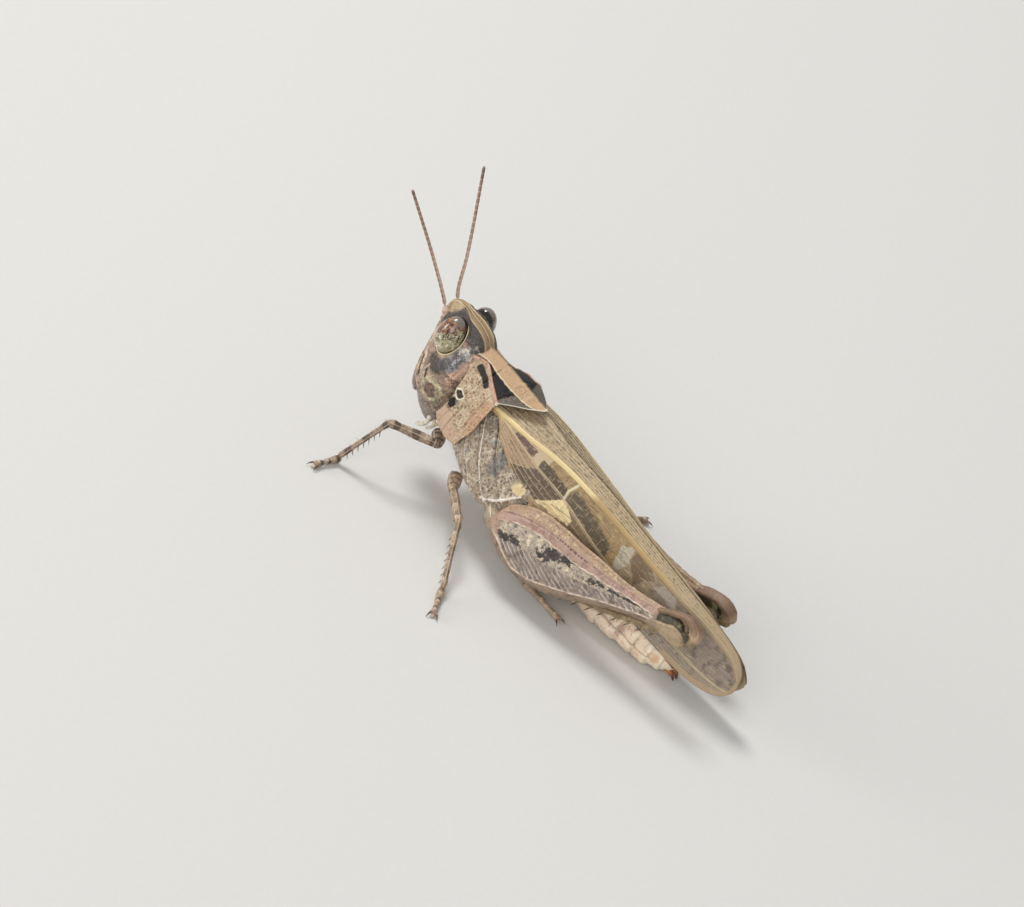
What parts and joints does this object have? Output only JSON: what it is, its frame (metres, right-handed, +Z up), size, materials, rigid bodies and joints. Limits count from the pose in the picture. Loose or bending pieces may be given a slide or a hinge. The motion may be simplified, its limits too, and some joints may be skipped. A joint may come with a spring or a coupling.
{
  "type": "resting short-horned grasshopper",
  "caption": "Life-size short-horned grasshopper at rest, wings folded over the back, hind legs folded, head raised.",
  "frame": {"origin": "middle of the footprint of the whole animal's bounding box, on the floor plane its six feet stand on", "axes": "-Y is the way the head points, +X is the animal's own left, +Z is up; the trunk is pitched head up by 12 degrees"},
  "size_m": [0.0186, 0.0278, 0.0158],
  "materials": {
    "head": "satin chitin, grey-beige with a blue-black cheek patch and pale stripes",
    "thorax": "matte pitted chitin, grey-beige with dark pits",
    "pronotum": "matte pitted chitin, tan band, velvet-black wedges and pale keels",
    "eye": "glossy, grey-beige mottled brown",
    "antenna": "matte, brown with pale rings",
    "abdomen": "satin, pinkish cream with grey-brown mottles",
    "valves": "hard glossy orange-brown",
    "forewing": "leathery, olive-brown with a pale yellow stripe, blotches and fine veins",
    "hindwing": "thin folded membrane, smoky",
    "hind_thigh": "satin, mauve-tan with black blotches and pale herringbone ridges",
    "leg": "satin, beige banded dark brown"
  },
  "bodies": {
    "root": {"head": "head", "eye_left": "eye", "eye_right": "eye", "antenna_left": "antenna", "antenna_right": "antenna", "mouthparts": "head", "pronotum": "pronotum", "prosternum": "thorax", "mesothorax": "thorax", "metathorax": "thorax", "abdomen_front": "abdomen", "abdomen_middle": "abdomen", "abdomen_tip": "abdomen", "ovipositor": "valves", "cercus_left": "abdomen", "cercus_right": "abdomen", "forewing_left": "forewing", "forewing_right": "forewing", "hindwing_left": "hindwing", "hindwing_right": "hindwing", "fore_coxa_left": "leg", "fore_coxa_right": "leg", "fore_femur_left": "leg", "fore_femur_right": "leg", "fore_tibia_left": "leg", "fore_tibia_right": "leg", "fore_tarsus_left": "leg", "fore_tarsus_right": "leg", "mid_coxa_left": "leg", "mid_coxa_right": "leg", "mid_femur_left": "leg", "mid_femur_right": "leg", "mid_tibia_left": "leg", "mid_tibia_right": "leg", "mid_tarsus_left": "leg", "mid_tarsus_right": "leg", "hind_coxa_left": "leg", "hind_coxa_right": "leg", "hind_femur_left": "hind_thigh", "hind_femur_right": "hind_thigh", "hind_tibia_left": "leg", "hind_tibia_right": "leg", "hind_tarsus_left": "leg", "hind_tarsus_right": "leg"}
  },
  "joints": []
}
